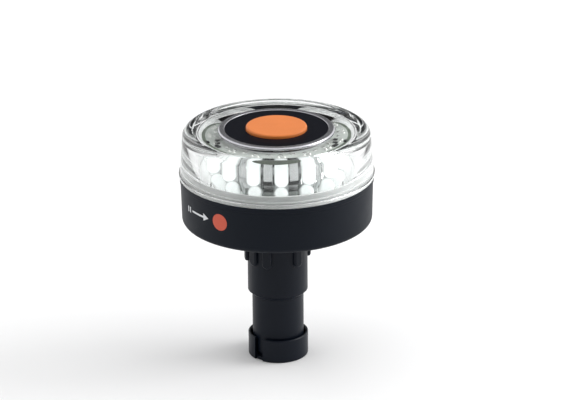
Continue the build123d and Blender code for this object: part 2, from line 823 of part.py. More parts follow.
with BuildPart() as one_link:
    link_upright = drum_inner_radius - slide_gap - link_thickness
    with BuildSketch(Plane.XZ.offset(-link_width / 2)):
        with BuildLine():
            Polyline(
                (link_upright - link_foot, switch_board_top),
                (link_upright + link_thickness, switch_board_top),
                (link_upright + link_thickness, led_board_top),
                (link_upright + link_thickness + link_foot, led_board_top),
                (link_upright + link_thickness + link_foot, led_board_top + link_thickness),
                (link_upright, led_board_top + link_thickness),
                (link_upright, switch_board_top + link_thickness),
                (link_upright - link_foot, switch_board_top + link_thickness),
                close=True,
            )
        make_face()
    extrude(amount=link_width)

with BuildPart() as board_links:
    with PolarLocations(0, link_count, start_angle=led_start_angle + 180 / led_count):
        add(one_link.part)
keep(board_links, "board_links")

with BuildPart() as one_led:
    with BuildSketch(Plane.XZ):
        with BuildLine():
            dome_level = led_tip + led_radius
            flange_level = led_board_bottom - led_flange_thickness
            Polyline(
                (0, led_board_bottom),
                (led_flange_radius, led_board_bottom),
                (led_flange_radius, flange_level),
                (led_radius, flange_level),
                (led_radius, dome_level),
            )
            ThreePointArc(
                (led_radius, dome_level),
                (led_radius * sin(pi / 4), dome_level - led_radius * cos(pi / 4)),
                (0, led_tip),
            )
            Line((0, led_tip), (0, led_board_bottom))
        make_face()
    revolve(axis=Axis.Z)

with BuildPart() as leds:
    with PolarLocations(led_circle_radius, led_count, start_angle=led_start_angle):
        add(one_led.part)
keep(leds, "leds")

with BuildPart() as led_leads:
    with BuildSketch(Plane.XY.offset(led_board_bottom)):
        with Locations(*lead_places()):
            Circle(lead_radius)
    extrude(amount=led_board_thickness + solder_height + lead_end)
    with Locations(*[Location((x, y, led_board_top)) for x, y in lead_places()]):
        Cone(solder_radius, lead_radius, solder_height, align=(Align.CENTER, Align.CENTER, Align.MIN))
keep(led_leads, "led_leads")

with BuildPart() as switch_body:
    with BuildSketch(Plane.XY.offset(switch_board_top)):
        Rectangle(switch_side, switch_side)
    extrude(amount=switch_body_height)
    with BuildSketch(Plane.XY.offset(switch_board_top + switch_body_height)):
        Circle(plunger_flange_radius + slide_gap)
    extrude(amount=-(plunger_flange_thickness + button_travel + plunger_room), mode=Mode.SUBTRACT)
keep(switch_body, "switch_body")

with BuildPart() as switch_cover:
    with BuildSketch(Plane.XY.offset(switch_top - switch_cover_thickness)):
        Rectangle(switch_side, switch_side)
        Circle(plunger_radius + slide_gap, mode=Mode.SUBTRACT)
    extrude(amount=switch_cover_thickness)
keep(switch_cover, "switch_cover")

with BuildPart() as switch_plunger:
    plunger_bottom = switch_top - switch_cover_thickness - snug_gap - plunger_flange_thickness
    with BuildSketch(Plane.XY.offset(plunger_bottom)):
        Circle(plunger_flange_radius)
    extrude(amount=plunger_flange_thickness)
    with BuildSketch(Plane.XY.offset(plunger_bottom)):
        Circle(plunger_radius)
    extrude(amount=plunger_top - plunger_bottom)
keep(switch_plunger, "switch_plunger")

with BuildPart() as controller_chip:
    with BuildSketch(Plane.XY.offset(switch_board_top + chip_lift)):
        with Locations(chip_place):
            Rectangle(chip_width, chip_length)
    extrude(amount=chip_height)
    chamfer(controller_chip.edges().group_by(Axis.Z)[-1], length=chip_bevel)
keep(controller_chip, "controller_chip")

with BuildPart() as chip_legs:
    with BuildSketch(Plane.XY.offset(switch_board_top)):
        with Locations(chip_place):
            with GridLocations(leg_span, leg_pitch, 2, leg_rows):
                Rectangle(leg_length, leg_width)
    extrude(amount=chip_lift)
keep(chip_legs, "chip_legs")

with BuildPart() as drive_inductor:
    with BuildSketch(Plane.XY.offset(switch_board_top)):
        with Locations(inductor_place):
            RectangleRounded(inductor_side, inductor_side, inductor_corner_radius)
    extrude(amount=inductor_height)
    chamfer(drive_inductor.edges().group_by(Axis.Z)[-1], length=inductor_bevel)
keep(drive_inductor, "drive_inductor")

with BuildPart() as chip_resistors:
    with BuildSketch(Plane.XY.offset(led_board_top)):
        half_pitch = 180 / led_count
        with PolarLocations(resistor_circle_radius, led_count // 2, start_angle=led_start_angle + half_pitch):
            Rectangle(resistor_width, resistor_length)
    extrude(amount=resistor_height)
keep(chip_resistors, "chip_resistors")

# ---------------------------------------------------------------- head
with BuildPart() as lens_cover:
    with BuildSketch(Plane.XZ):
        with BuildLine():
            shoulder_level = lens_crest - lens_shoulder_radius
            crest_start = lens_top_radius - lens_shoulder_radius
            Polyline(
                (skirt_inner_radius, skirt_bottom),
                (skirt_radius - edge_break, skirt_bottom),
                (skirt_radius, skirt_bottom + edge_break),
                (skirt_radius, rim_bottom),
                (male_crest_radius, rim_bottom + root_overlap),
                (male_crest_radius, flange_bottom),
                (flange_radius, flange_bottom),
                (flange_radius, flange_top),
                (lens_foot_radius, flange_top),
                (lens_top_radius, shoulder_level),
            )
            ThreePointArc(
                (lens_top_radius, shoulder_level),
                (
                    crest_start + lens_shoulder_radius * cos(pi / 4),
                    shoulder_level + lens_shoulder_radius * sin(pi / 4),
                ),
                (crest_start, lens_crest),
            )
            plateau_radius = crest_start - rim_crest_width - rim_step_run
            Polyline(
                (crest_start, lens_crest),
                (crest_start - rim_crest_width, lens_crest),
                (plateau_radius, lens_plateau),
                (trim_ring_radius + slide_gap, lens_plateau),
                (trim_ring_radius + slide_gap, seat_level),
                (neck_hole_radius, seat_level),
                (neck_hole_radius, lens_underside),
                (chamber_radius - chamber_corner_radius, lens_underside),
            )
            ThreePointArc(
                (chamber_radius - chamber_corner_radius, lens_underside),
                (
                    chamber_radius - chamber_corner_radius * (1 - cos(pi / 4)),
                    lens_underside - chamber_corner_radius * (1 - sin(pi / 4)),
                ),
                (chamber_radius, lens_underside - chamber_corner_radius),
            )
            groove_low = snap_ring_bottom - snug_gap
            groove_high = snap_ring_top + snug_gap
            groove_radius = skirt_inner_radius + snap_groove_depth
            Polyline(
                (chamber_radius, lens_underside - chamber_corner_radius),
                (chamber_radius, ledge_level),
                (skirt_inner_radius, ledge_level),
                (skirt_inner_radius, groove_high),
                (groove_radius, groove_high),
                (groove_radius, groove_low),
                (skirt_inner_radius, groove_low),
                (skirt_inner_radius, skirt_bottom),
            )
        make_face()
    revolve(axis=Axis.Z)
    round_edges = lens_cover.edges().filter_by(GeomType.CIRCLE)
    fillet([e for e in round_edges if abs(e.radius - flange_radius) < 0.01], radius=flange_edge_radius)
    with BuildLine() as male_path:
        Helix(
            pitch=thread_pitch,
            height=thread_pitch * male_turns,
            radius=male_root_radius,
            center=(0, 0, male_start),
        )
    with BuildSketch(thread_plane(male_start, male_root_radius)):
        with BuildLine():
            Polyline(
                (-thread_root_embed, -thread_base_width / 2),
                (0, -thread_base_width / 2),
                (thread_height, -thread_crest_width / 2),
                (thread_height, thread_crest_width / 2),
                (0, thread_base_width / 2),
                (-thread_root_embed, thread_base_width / 2),
                close=True,
            )
        make_face()
    sweep(path=male_path.wire(), is_frenet=True)
keep(lens_cover, "lens_cover")

with BuildPart() as snap_ring:
    with BuildSketch(Plane.XY.offset(snap_ring_bottom)):
        Circle(groove_radius - slide_gap)
        Circle(groove_radius - slide_gap - snap_ring_width, mode=Mode.SUBTRACT)
        with Locations((0, groove_radius)):
            Rectangle(snap_ring_gap, 3 * snap_ring_width, mode=Mode.SUBTRACT)
    extrude(amount=snap_ring_thickness)
keep(snap_ring, "snap_ring")

with BuildPart() as ring_gasket:
    with BuildSketch(Plane.XY.offset(seat_level)):
        Circle(trim_ring_radius - gasket_inset)
        Circle(neck_hole_radius, mode=Mode.SUBTRACT)
    extrude(amount=gasket_thickness)
keep(ring_gasket, "ring_gasket")

with BuildPart() as trim_ring:
    with BuildSketch(Plane.XY.offset(ring_bottom)):
        Circle(trim_ring_radius)
        Circle(trim_ring_radius - trim_ring_width, mode=Mode.SUBTRACT)
    extrude(amount=trim_ring_thickness)
    top_edges = trim_ring.edges().group_by(Axis.Z)[-1].sort_by(SortBy.RADIUS)
    chamfer(top_edges[-1], length=trim_ring_outer_bevel)
    chamfer(top_edges[0], length=trim_ring_inner_bevel)
keep(trim_ring, "trim_ring")

with BuildPart() as button_surround:
    with BuildSketch(Plane.XY.offset(ring_bottom)):
        Circle(surround_radius)
    extrude(amount=ring_top - ring_bottom - surround_drop)
    with BuildSketch(Plane.XY.offset(neck_tube_bottom)):
        Circle(neck_tube_radius)
    extrude(amount=neck_tube_depth)
    with BuildSketch(Plane.XY.offset(neck_tube_bottom)):
        Circle(neck_tube_bore)
    extrude(amount=neck_tube_depth, mode=Mode.SUBTRACT)
    with BuildSketch(Plane.XY.offset(ring_bottom)):
        Circle(button_radius + button_gap)
    extrude(amount=trim_ring_thickness, mode=Mode.SUBTRACT)
    bore_edge = button_surround.edges().group_by(Axis.Z)[-1].sort_by(SortBy.RADIUS)[0]
    fillet(bore_edge, radius=surround_edge_radius)
keep(button_surround, "button_surround")

with BuildPart() as lock_nut:
    nut_top = lens_underside - snug_gap
    with BuildSketch(Plane.XY.offset(nut_top)):
        Circle(neck_tube_radius + lock_nut_width)
        Circle(neck_tube_radius + snug_gap, mode=Mode.SUBTRACT)
        with PolarLocations(neck_tube_radius + lock_nut_width, nut_notch_count):
            Rectangle(2 * nut_notch_depth, nut_notch_width, mode=Mode.SUBTRACT)
    extrude(amount=-lock_nut_height)
keep(lock_nut, "lock_nut")

boot_rim_outer = neck_tube_bore - snug_gap
boot_rim_inner = boot_rim_outer - boot_rim_width
boot_rim_bottom = neck_tube_bottom + clamp_ring_height + snug_gap
boot_rim_top = ring_bottom - snug_gap

with BuildPart() as clamp_ring:
    with BuildSketch(Plane.XY.offset(neck_tube_bottom)):
        Circle(neck_tube_bore - snug_gap)
        Circle(boot_rim_inner, mode=Mode.SUBTRACT)
    extrude(amount=clamp_ring_height)
keep(clamp_ring, "clamp_ring")

with BuildPart() as button_boot:
    with BuildSketch(Plane.XZ):
        with BuildLine():
            web_top = boot_rim_bottom + boot_web
            Polyline(
                (boot_rim_outer, boot_rim_bottom),
                (boot_rim_outer, boot_rim_top),
                (boot_rim_outer - boot_rim_slope_run, boot_rim_top),
                (boot_rim_inner, web_top),
                (boot_flat_radius, web_top),
                (boot_nub_radius, boot_nub_top),
                (0, boot_nub_top),
                (0, boot_nub_bottom),
                (boot_nub_radius, boot_nub_bottom),
                (boot_flat_radius, boot_rim_bottom),
                close=True,
            )
        make_face()
    revolve(axis=Axis.Z)
keep(button_boot, "button_boot")

with BuildPart() as push_button:
    with BuildSketch(Plane.XY.offset(button_flange_bottom)):
        Circle(button_flange_radius)
    extrude(amount=button_flange_thickness)
    with BuildSketch(Plane.XY.offset(button_flange_bottom)):
        Circle(button_radius)
    extrude(amount=button_top - button_flange_bottom)
    crown_edge = push_button.edges().group_by(Axis.Z)[-1]
    fillet(crown_edge, radius=button_crown_radius)
    with BuildSketch(Plane.XY.offset(button_flange_bottom)):
        Circle(button_radius - button_wall)
    extrude(amount=button_ceiling - button_flange_bottom, mode=Mode.SUBTRACT)
    with BuildSketch(Plane.XY.offset(post_bottom)):
        Circle(post_radius)
    extrude(amount=button_ceiling - post_bottom + free_gap)
keep(push_button, "push_button")

print("total height", round(button_top, 2))
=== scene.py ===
"""Looks for a portable marine beacon light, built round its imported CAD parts.

Lengths are metres in the frame of the CAD model: the foot of the spigot stands on Z = 0.
"""

import math

import bmesh
import bpy
from mathutils import Matrix, Vector


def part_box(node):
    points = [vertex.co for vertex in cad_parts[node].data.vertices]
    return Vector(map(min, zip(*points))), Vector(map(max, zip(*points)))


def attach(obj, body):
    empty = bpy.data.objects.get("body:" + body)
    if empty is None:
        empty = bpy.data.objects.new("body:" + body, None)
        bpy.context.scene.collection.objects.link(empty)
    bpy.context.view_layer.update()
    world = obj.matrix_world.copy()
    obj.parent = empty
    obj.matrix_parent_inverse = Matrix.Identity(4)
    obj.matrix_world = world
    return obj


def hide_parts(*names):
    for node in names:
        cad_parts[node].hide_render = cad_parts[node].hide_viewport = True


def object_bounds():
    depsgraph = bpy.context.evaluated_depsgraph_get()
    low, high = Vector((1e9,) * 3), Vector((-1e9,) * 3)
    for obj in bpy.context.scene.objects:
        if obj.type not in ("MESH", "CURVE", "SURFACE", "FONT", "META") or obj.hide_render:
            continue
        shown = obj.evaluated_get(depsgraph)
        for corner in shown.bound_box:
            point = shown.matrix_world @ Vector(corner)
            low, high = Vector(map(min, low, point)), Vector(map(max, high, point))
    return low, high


bl_info = {
    "name": "Marine Beacon Light",
    "blender": (4, 5, 0),
    "version": (1, 0, 0),
    "location": "View3D > Sidebar > Beacon",
    "description": "Gives a CAD beacon light its lens, finishes, stage and camera",
    "category": "Object",
}

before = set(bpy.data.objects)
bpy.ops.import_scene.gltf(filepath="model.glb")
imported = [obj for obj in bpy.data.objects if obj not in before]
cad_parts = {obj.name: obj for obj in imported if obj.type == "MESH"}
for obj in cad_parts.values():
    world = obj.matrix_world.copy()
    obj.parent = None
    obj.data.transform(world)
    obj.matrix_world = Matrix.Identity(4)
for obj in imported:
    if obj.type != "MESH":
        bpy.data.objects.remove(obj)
cad_low, cad_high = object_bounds()

MM = 0.001
ROUND_SEGMENTS = 288
ARC_STEPS = 10

# Strength of the LEDs' light at the dome and the root, and its share at the rim
LED_DOME_GLOW = 1.05
LED_ROOT_GLOW = 0.80
LED_RIM_GLOW = 0.12

# Each part of the room's light: the way it lies, the cosines where it starts and ends to change,
# and its brightness outside and inside
CAMERA_SIDE = ((0, -1, 0), 0.40, 0.85, 1.25, 0.05)
BACK_SCREEN = ((0, 0.927, 0.375), 0.930, 0.975, 1.0, 0.08)


def outer_radius(node):
    """The radius of a round CAD node about the light's axis."""
    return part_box(node)[1].x


def low(node):
    """The height of a CAD node's lowest point."""
    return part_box(node)[0].z


def top(node):
    """The height of a CAD node's highest point."""
    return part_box(node)[1].z


# Small chips on the LED board, on both sides of the light: radius and angle from the front in
# millimetres and degrees, then length and width
BOARD_CHIPS = ((31.0, 71, 1.5, 1.3), (26.7, 71, 1.4, 1.8), (27.9, 64, 0.9, 2.0), (29.4, 58, 2.8, 1.5))


# ---------------------------------------------------------------- settings


def length(name, description, default):
    """A length property in metres."""
    return bpy.props.FloatProperty(
        name=name, description=description, default=default, min=0, unit="LENGTH", precision=5
    )


def colour(name, description, default):
    """A colour property."""
    return bpy.props.FloatVectorProperty(
        name=name, description=description, default=default, size=3, min=0, max=1, subtype="COLOR"
    )


def angle(name, description, degrees):
    """An angle property, from its default in degrees."""
    return bpy.props.FloatProperty(
        name=name, description=description, default=math.radians(degrees), subtype="ANGLE"
    )


class BeaconLensSettings(bpy.types.PropertyGroup):
    """Sizes of the clear lens that the CAD boxes don't give."""

    flange_thickness: length("Flange Thickness", "Height of the foot flange", 1.6 * MM)
    flange_round: length("Flange Round", "Edge radius of the foot flange", 0.4 * MM)
    foot_inset: length("Foot Inset", "How far the wall stands inside the flange", 0.5 * MM)
    draft: length("Draft", "How far the outer wall leans in at its top", 1.1 * MM)
    shoulder: length("Shoulder Radius", "Radius between wall and rim", 3.4 * MM)
    rim_width: length("Rim Width", "Flat width of the raised rim", 0.8 * MM)
    rim_step: length("Rim Step", "Height of the rim over the flat top", 0.7 * MM)
    chamber_radius: length("Chamber Radius", "Inner radius round the LEDs", 34.4 * MM)
    chamber_round: length("Chamber Round", "Radius of the chamber's upper corner", 1.5 * MM)
    skirt_radius: length("Skirt Radius", "Outer radius of the screwed skirt", 37.0 * MM)
    skirt_wall: length("Skirt Wall", "Wall of the screwed skirt", 1.6 * MM)
    ledge_rise: length("Ledge Rise", "From the snap ring up to the chamber's ledge", 2.57 * MM)
    hole_radius: length("Hole Radius", "Hole in the flat top for the surround's tube", 19.9 * MM)
    boss_drop: length("Boss Drop", "Height of the thick ring under the flange", 1.9 * MM)
    small_round: length("Small Round", "Radius of the inner corners outside", 0.15 * MM)
    rim_round: length("Rim Round", "Radius of the rim's inner edge", 0.25 * MM)
    play: length("Play", "Gap to the ring, gasket and casing", 0.1 * MM)
    thread_height: length("Thread Height", "How far the thread stands off the skirt", 0.9 * MM)
    thread_pitch: length("Thread Pitch", "Rise of the thread in one turn", 3.0 * MM)
    thread_width: length("Thread Width", "Width of the thread at its root", 1.3 * MM)
    tint: colour("Tint", "Colour of the clear plastic", (0.975, 0.99, 0.985))


class BeaconBoardSettings(bpy.types.PropertyGroup):
    """Sizes of the small things on the LED board."""

    pad_count: bpy.props.IntProperty(
        name="Pads", description="Solder pads round the board", default=32, min=1
    )
    pad_start: angle("Pad Start", "Place of the first pad", 3.6)
    pad_circle: length("Pad Circle", "Radius that the pads stand on", 26.9 * MM)
    pad_width: length("Pad Width", "Along the board's edge", 2.2 * MM)
    pad_depth: length("Pad Depth", "Across the board", 1.3 * MM)
    pad_rise: length("Pad Rise", "Height of the solder", 0.25 * MM)
    chip_rise: length("Chip Rise", "Height of the small chips", 0.75 * MM)
    bare_margin: length("Bare Margin", "Unmasked edge round the LED board", 1.4 * MM)


class BeaconColours(bpy.types.PropertyGroup):
    """Colours of the finishes."""

    casing: colour("Casing", "Battery casing", (0.0030, 0.0058, 0.0115))
    stem: colour("Stem", "Stem and collar", (0.0035, 0.0062, 0.0125))
    surround: colour("Surround", "Disc round the button", (0.0030, 0.0036, 0.0070))
    # The lock nut is near black like the parts round it; its brown tint is painted shade and reflection,
    # copying the brown band of shade under the trim ring.
    nut: colour("Lock Nut", "Nut under the surround", (0.060, 0.032, 0.022))
    button: colour("Button", "Push button", (0.66, 0.185, 0.038))
    dot: colour("Dot", "Alignment dot on the casing", (0.62, 0.105, 0.060))
    print_white: colour("Print", "Printed marks on the casing", (0.72, 0.74, 0.76))
    ring: colour("Ring", "Trim ring", (0.50, 0.50, 0.53))
    chrome: colour("Floor Mirror", "Metallised floor under the LEDs", (0.80, 0.81, 0.81))
    drum: colour("Drum", "Metallised flutes behind the LEDs", (0.56, 0.57, 0.57))
    glow: colour("Glow", "Light of the LEDs", (0.97, 1.0, 0.99))
    board: colour("Board", "Solder mask on the boards", (0.62, 0.65, 0.62))
    board_edge: colour("Board Edge", "Sawn edge of the boards", (0.12, 0.15, 0.11))


class BeaconMarkSettings(bpy.types.PropertyGroup):
    """Sizes of the marks on the casing."""

    dot_diameter: length("Dot Diameter", "Width of the alignment dot", 7.4 * MM)
    height: length("Mark Height", "Height of the marks' middle", 74.6 * MM)
    dot_angle: angle("Dot Angle", "Place of the dot round the casing", -36)
    thickness: length("Print Thickness", "How far the print stands off the wall", 0.05 * MM)
    wall_inset: length("Wall Inset", "How far the wall lies inside the rim band", 0.3 * MM)
    wall_draft: length("Wall Draft", "How far the wall leans in at its bottom", 0.4 * MM)


class BeaconStageSettings(bpy.types.PropertyGroup):
    """The camera and the studio."""

    distance: length("Camera Distance", "From the camera to its target", 1319.2 * MM)
    target_height: length("Target Height", "Height of the camera's target", 71.2 * MM)
    elevation: angle("Elevation", "Camera's height angle", 21.71)
    roll: angle("Roll", "Camera's turn about its own axis", -0.53)
    lens: bpy.props.FloatProperty(
        name="Lens", description="Focal length in millimetres", default=190.6, min=1
    )
    shift: bpy.props.FloatProperty(name="Shift", description="Sideways lens shift", default=0.0223)
    floor_size: length("Floor Size", "Side of the square floor", 4.0)
    floor_front: length("Floor Front", "How far the floor reaches toward the camera", 0.45)


SETTINGS = {
    "beacon_lens": BeaconLensSettings,
    "beacon_board": BeaconBoardSettings,
    "beacon_colours": BeaconColours,
    "beacon_marks": BeaconMarkSettings,
    "beacon_stage": BeaconStageSettings,
}


# ---------------------------------------------------------------- mesh tools


def add_object(name, built, sharp_degrees=30):
    """Makes a smooth-shaded object from a bmesh, with edges sharper than the given angle kept sharp."""
    bmesh.ops.recalc_face_normals(built, faces=built.faces)
    mesh = bpy.data.meshes.new(name)
    built.to_mesh(mesh)
    built.free()
    mesh.shade_smooth()
    mesh.set_sharp_from_angle(angle=math.radians(sharp_degrees))
    made = bpy.data.objects.new(name, mesh)
    bpy.context.scene.collection.objects.link(made)
    return made


def arc(centre, radius, start, end, steps=ARC_STEPS):
    """Points along an arc in the (radius, height) plane, with angles in degrees."""
    angles = [math.radians(start + (end - start) * i / steps) for i in range(steps + 1)]
    return [(centre[0] + radius * math.cos(a), centre[1] + radius * math.sin(a)) for a in angles]


def revolve(built, outline, segments=ROUND_SEGMENTS):
    """Turns a closed (radius, height) outline about Z."""
    rings = []
    for i in range(segments):
        a = 2 * math.pi * i / segments
        rings.append([built.verts.new((r * math.cos(a), r * math.sin(a), z)) for r, z in outline])
    count = len(outline)
    for i, ring in enumerate(rings):
        after = rings[(i + 1) % segments]
        for j in range(count):
            k = (j + 1) % count
            built.faces.new((ring[j], after[j], after[k], ring[k]))


def helix(built, outline, start, pitch, turns, steps_per_turn=96):
    """Sweeps a closed (radius, offset) outline up a right-hand helix."""
    rings = []
    steps = round(turns * steps_per_turn)
    for i in range(steps + 1):
        a = 2 * math.pi * i / steps_per_turn
        rise = start + pitch * i / steps_per_turn
        rings.append([built.verts.new((r * math.cos(a), r * math.sin(a), rise + h)) for r, h in outline])
    for ring, after in zip(rings, rings[1:]):
        for j in range(len(outline)):
            k = (j + 1) % len(outline)
            built.faces.new((ring[j], after[j], after[k], ring[k]))
    built.faces.new(rings[0])
    built.faces.new(list(reversed(rings[-1])))


# ---------------------------------------------------------------- material tools


class Finish:
    """A node material with a Principled shader, built up step by step."""

    def __init__(self, name):
        """Starts a material that reads places in the CAD frame."""
        self.material = bpy.data.materials.new(name)
        self.material.use_nodes = True
        self.nodes = self.material.node_tree.nodes
        self.links = self.material.node_tree.links
        self.shader = self.nodes["Principled BSDF"]
        self.output = self.nodes["Material Output"]
        self.place = self.nodes.new("ShaderNodeTexCoord").outputs["Object"]

    def set(self, **values):
        """Sets the shader's own sockets, with underscores for spaces in their names."""
        for name, value in values.items():
            socket = self.shader.inputs[name.replace("_", " ")]
            socket.default_value = (*value, 1) if socket.type == "RGBA" else value
        return self

    def node(self, kind, inputs=(), **settings):
        """Adds a node, with its settings and its inputs as numbers or sockets."""
        made = self.nodes.new(kind)
        for name, value in settings.items():
            setattr(made, name, value)
        for key, value in dict(inputs).items():
            if isinstance(value, bpy.types.NodeSocket):
                self.links.new(value, made.inputs[key])
            else:
                made.inputs[key].default_value = value
        return made

    def noise(self, scale, detail=3.0, roughness=0.5):
        """A noise field in the CAD frame."""
        inputs = {"Vector": self.place, "Scale": scale, "Detail": detail, "Roughness": roughness}
        return self.node("ShaderNodeTexNoise", inputs).outputs["Fac"]

    def rings(self, scale, distortion=0.6):
        """Fine circles about the light's axis, as a lathe leaves."""
        inputs = {"Vector": self.place, "Scale": scale, "Distortion": distortion}
        inputs.update({"Detail": 3.0, "Detail Scale": 2.0})
        made = self.node("ShaderNodeTexWave", inputs, wave_type="RINGS", rings_direction="Z")
        return made.outputs["Fac"]

    def span(self, field, low_value, high_value):
        """A field from 0 to 1, mapped to a range of values."""
        made = self.node("ShaderNodeMapRange", {"Value": field, "To Min": low_value, "To Max": high_value})
        return made.outputs["Result"]

    def mix(self, field, first, second):
        """A mix of two colours by a field."""
        made = self.node("ShaderNodeMix", data_type="RGBA")
        self.links.new(field, made.inputs["Factor"])
        for socket, value in ((made.inputs[6], first), (made.inputs[7], second)):
            if isinstance(value, bpy.types.NodeSocket):
                self.links.new(value, socket)
            else:
                socket.default_value = (*value, 1)
        return made.outputs[2]

    def drive(self, name, socket):
        """Feeds one of the shader's inputs from a field."""
        self.links.new(socket, self.shader.inputs[name])
        return self

    def bump(self, field, depth, strength=1.0):
        """Adds fine relief of the given depth, over any relief that is there."""
        made = self.node("ShaderNodeBump", {"Height": field, "Distance": depth, "Strength": strength})
        before = self.shader.inputs["Normal"]
        if before.is_linked:
            self.links.new(before.links[0].from_socket, made.inputs["Normal"])
        self.links.new(made.outputs["Normal"], before)
        return self

    def compare(self, field, limit, operation):
        """One where a field is over or under a limit, and nought elsewhere."""
        return self.node("ShaderNodeMath", {0: field, 1: limit}, operation=operation).outputs[0]

    def facing(self):
        """The upward share of the surface's true normal, from -1 to 1."""
        geometry = self.node("ShaderNodeNewGeometry")
        split = self.node("ShaderNodeSeparateXYZ", {"Vector": geometry.outputs["True Normal"]})
        return split.outputs["Z"]

    def height(self, bottom, upper):
        """The height in the CAD frame as a field from 0 at bottom to 1 at upper."""
        split = self.node("ShaderNodeSeparateXYZ", {"Vector": self.place})
        inputs = {"Value": split.outputs["Z"], "From Min": bottom, "From Max": upper}
        return self.node("ShaderNodeMapRange", inputs).outputs["Result"]


def shades(tone, spread):
    """A darker and a lighter shade of a colour."""
    return [tuple(min(1, c * k) for c in tone) for k in (1 - spread, 1 + spread)]


def moulded(name, tone, roughness, grain=0.14 * MM, depth=0.010 * MM, specular=0.35):
    """Moulded plastic: spark-eroded grain, slight clouding, and a roughness that wanders."""
    made = Finish(name).set(Specular_IOR_Level=specular)
    dark, light = shades(tone, 0.12)
    cloud = made.noise(60, 4)
    made.drive("Base Color", made.mix(cloud, dark, light))
    made.drive("Roughness", made.span(made.noise(140, 3), roughness - 0.05, roughness + 0.05))
    made.bump(made.noise(1 / grain, 2), depth)
    return made


def metal(name, tone, roughness, grain=None):
    """Bare metal with a fine satin grain."""
    made = Finish(name).set(Metallic=1.0)
    dark, light = shades(tone, 0.08)
    field = grain(made) if grain else made.noise(900, 4)
    made.drive("Base Color", made.mix(field, dark, light))
    made.drive("Roughness", made.span(field, roughness - 0.06, roughness + 0.08))
    made.bump(field, 0.004 * MM)
    return made


def rubber(name, tone, roughness):
    """Soft rubber with a dusty bloom."""
    made = Finish(name).set(Specular_IOR_Level=0.3, Sheen_Weight=0.08, Sheen_Roughness=0.4)
    dark, light = shades(tone, 0.10)
    made.drive("Base Color", made.mix(made.noise(90, 4), dark, light))
    made.drive("Roughness", made.span(made.noise(400, 3), roughness - 0.06, roughness + 0.06))
    made.bump(made.noise(5000, 2), 0.010 * MM)
    return made


def clear_plastic(tint):
    """Polished clear plastic that lets lamps through and has faint flow marks."""
    made = Finish("clear plastic").set(
        Base_Color=tint, Transmission_Weight=1.0, IOR=1.49, Roughness=0.0, Specular_IOR_Level=0.5
    )
    made.bump(made.noise(55, 2), 0.02 * MM, 0.4)
    lamp_way = made.node("ShaderNodeBsdfTransparent", {"Color": (*tint, 1)})
    path = made.node("ShaderNodeLightPath")
    both = made.node("ShaderNodeMixShader")
    made.links.new(path.outputs["Is Shadow Ray"], both.inputs["Fac"])
    made.links.new(made.shader.outputs["BSDF"], both.inputs[1])
    made.links.new(lamp_way.outputs["BSDF"], both.inputs[2])
    made.links.new(both.outputs["Shader"], made.output.inputs["Surface"])
    return made


def frosted_plastic(tint):
    """The same plastic with a frosted face, as the mould leaves it where nobody looks through it."""
    made = Finish("frosted plastic").set(Transmission_Weight=0.35, IOR=1.49)
    made.drive("Base Color", made.mix(made.noise(300, 3), *shades(tuple(0.86 * c for c in tint), 0.05)))
    made.drive("Roughness", made.span(made.noise(900, 3), 0.45, 0.7))
    made.bump(made.noise(6000, 2), 0.01 * MM)
    return made


def lit_epoxy(tone, tip, root):
    """Lit LED epoxy, brightest at its dome and darker where it turns away."""
    made = Finish("lit epoxy").set(Base_Color=(0.42, 0.44, 0.44), Roughness=0.08, Emission_Color=tone)
    edge = made.node("ShaderNodeLayerWeight", {"Blend": 0.5}).outputs["Facing"]
    fall = {"Value": edge, "From Min": 0.35, "From Max": 0.90, "To Min": 1.0, "To Max": LED_RIM_GLOW}
    rim = made.node("ShaderNodeMapRange", fall)
    body = made.span(made.height(tip, root), LED_DOME_GLOW, LED_ROOT_GLOW)
    glow = made.node("ShaderNodeMath", {0: body, 1: rim.outputs["Result"]}, operation="MULTIPLY")
    made.drive("Emission Strength", glow.outputs[0])
    made.bump(made.noise(1500, 2), 0.003 * MM)
    return made


def circuit_board(name, mask, edge, masked_radius):
    """A board with a masked underside, and a top masked over faint tracks out to a radius."""
    made = Finish(name).set(Coat_Weight=0.25, Coat_Roughness=0.2)
    dark, light = shades(mask, 0.07)
    white = (1, 1, 1, 1)
    pattern = {"Vector": made.place, "Scale": 320.0, "Mortar Size": 0.06, "Color1": white, "Color2": white}
    tracks = made.node("ShaderNodeTexBrick", pattern)
    printed = made.mix(tracks.outputs["Fac"], light, dark)
    up = made.facing()
    top_side = made.compare(up, 0.5, "GREATER_THAN")
    under_side = made.compare(up, -0.5, "LESS_THAN")
    fibre = made.mix(made.noise(3000, 3), *shades(edge, 0.25))
    flat = made.node("ShaderNodeVectorMath", {0: made.place, 1: (1, 1, 0)}, operation="MULTIPLY")
    radius = made.node("ShaderNodeVectorMath", {0: flat.outputs["Vector"]}, operation="LENGTH")
    inside = made.compare(radius.outputs["Value"], masked_radius, "LESS_THAN")
    masked = made.mix(inside, fibre, printed)
    made.drive("Base Color", made.mix(top_side, made.mix(under_side, fibre, mask), masked))
    made.drive("Roughness", made.span(made.noise(500, 3), 0.35, 0.5))
    made.bump(tracks.outputs["Fac"], 0.01 * MM, 0.5)
    return made


def chrome(name, tone):
    """A vacuum-metallised reflector with slight ripples."""
    made = Finish(name).set(Metallic=1.0)
    dark, light = shades(tone, 0.03)
    made.drive("Base Color", made.mix(made.noise(120, 3), dark, light))
    made.drive("Roughness", made.span(made.noise(300, 3), 0.03, 0.10))
    made.bump(made.noise(160, 2), 0.02 * MM, 0.5)
    return made


def cell_jacket(name, tone):
    """A battery's printed sleeve: plain, with a coloured band at one end."""
    made = Finish(name).set(Metallic=0.6, Coat_Weight=0.5, Coat_Roughness=0.15)
    along = made.node("ShaderNodeSeparateXYZ", {"Vector": made.place}).outputs["X"]
    banded = made.compare(along, 12 * MM, "GREATER_THAN")
    made.drive("Base Color", made.mix(banded, tone, (0.55, 0.42, 0.18)))
    made.drive("Roughness", made.span(made.noise(400, 3), 0.25, 0.4))
    return made


